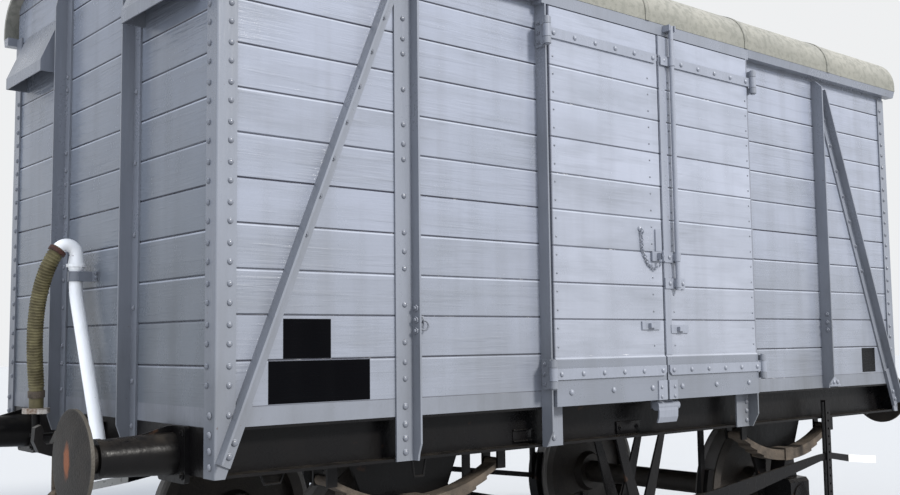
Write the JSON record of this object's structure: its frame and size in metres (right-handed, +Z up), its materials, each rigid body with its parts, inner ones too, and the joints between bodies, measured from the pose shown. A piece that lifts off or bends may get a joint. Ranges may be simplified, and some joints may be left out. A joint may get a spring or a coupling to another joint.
{
  "type": "railway covered goods wagon",
  "caption": "Four-wheel covered railway goods van with planked walls, arched roof, hinged side doors, buffers, link couplings and a brake pipe.",
  "frame": {"origin": "middle of the van, at the lowest point of the wheel flanges", "axes": "+X along the van towards the end without the hose, +Y across, +Z up"},
  "size_m": [6.204, 2.67, 3.7439],
  "materials": {
    "side_planks": "gloss light grey paint on planks, weathered",
    "framing": "gloss light grey paint on steel",
    "doors": "gloss light grey paint on planks",
    "roof": "matt weathered grey roof sheet",
    "black_iron": "gloss black paint",
    "wheel_steel": "dull worn steel, dusted brown",
    "spring_steel": "bare spring steel with dry rust",
    "buffer_steel": "greasy worn steel with a rust spot",
    "pipe_paint": "gloss white paint",
    "hose": "ribbed olive rubber",
    "floor_boards": "bare worn boards",
    "coupling_iron": "bare rusty iron"
  },
  "bodies": {
    "body": {"solebars": "black_iron", "headstocks": "black_iron", "middle_sills": "black_iron", "cross_bearers": "black_iron", "floor": "floor_boards", "curb_rails": "framing", "side_planking_near": "side_planks", "side_planking_far": "side_planks", "end_planking_hose_end": "side_planks", "end_planking_plain_end": "side_planks", "corner_plates": "framing", "side_stanchions": "framing", "side_diagonals": "framing", "door_posts": "framing", "end_stanchions": "framing", "cantrails": "framing", "roof": "roof", "roof_ribs": "framing", "end_hoods": "framing", "cant_mouldings": "framing", "solebar_loops": "black_iron", "door_hinges": "framing", "door_catches": "framing", "axleboxes": "black_iron", "axleguards": "black_iron", "leaf_springs": "spring_steel", "spring_hangers": "black_iron", "brake_shaft": "black_iron", "vee_hangers": "black_iron", "brake_blocks": "black_iron", "brake_rods": "black_iron", "brake_levers": "black_iron", "lever_guides": "black_iron", "buffer_housings": "black_iron", "buffer_heads": "buffer_steel", "drawhooks": "black_iron", "coupling_hose_end": "coupling_iron", "coupling_plain_end": "coupling_iron", "standpipe_hose_end": "pipe_paint", "standpipe_plain_end": "pipe_paint", "level_pipe": "black_iron", "pipe_clips": "framing", "hose": "hose", "hose_coupling": "coupling_iron", "hose_dummy": "black_iron"},
    "wheelset_hose_end": {"axle_1": "wheel_steel", "wheels_1": "wheel_steel"},
    "wheelset_plain_end": {"axle_2": "wheel_steel", "wheels_2": "wheel_steel"},
    "near_left_door": {"door_near_left": "doors", "ironwork_near_left": "framing"},
    "near_right_door": {"door_near_right": "doors", "ironwork_near_right": "framing", "locking_bar_near": "framing"},
    "far_left_door": {"door_far_left": "doors", "ironwork_far_left": "framing"},
    "far_right_door": {"door_far_right": "doors", "ironwork_far_right": "framing", "locking_bar_far": "framing"}
  },
  "joints": [
    {"name": "hose_end_wheels_turn", "type": "hinge", "parent": "body", "child": "wheelset_hose_end", "pos_m": [-1.524, 0, 0.504], "axis": [0, 1, 0], "continuous": true},
    {"name": "plain_end_wheels_turn", "type": "hinge", "parent": "body", "child": "wheelset_plain_end", "pos_m": [1.524, 0, 0.504], "axis": [0, 1, 0], "continuous": true},
    {"name": "near_left_door_swing", "type": "hinge", "parent": "body", "child": "near_left_door", "pos_m": [-0.89, -1.31, 2.2], "axis": [0, 0, -1], "range_deg": [0, 175]},
    {"name": "near_right_door_swing", "type": "hinge", "parent": "body", "child": "near_right_door", "pos_m": [0.89, -1.31, 2.2], "axis": [0, 0, 1], "range_deg": [0, 175]},
    {"name": "far_left_door_swing", "type": "hinge", "parent": "body", "child": "far_left_door", "pos_m": [0.89, 1.31, 2.2], "axis": [0, 0, -1], "range_deg": [0, 175]},
    {"name": "far_right_door_swing", "type": "hinge", "parent": "body", "child": "far_right_door", "pos_m": [-0.89, 1.31, 2.2], "axis": [0, 0, 1], "range_deg": [0, 175]}
  ]
}
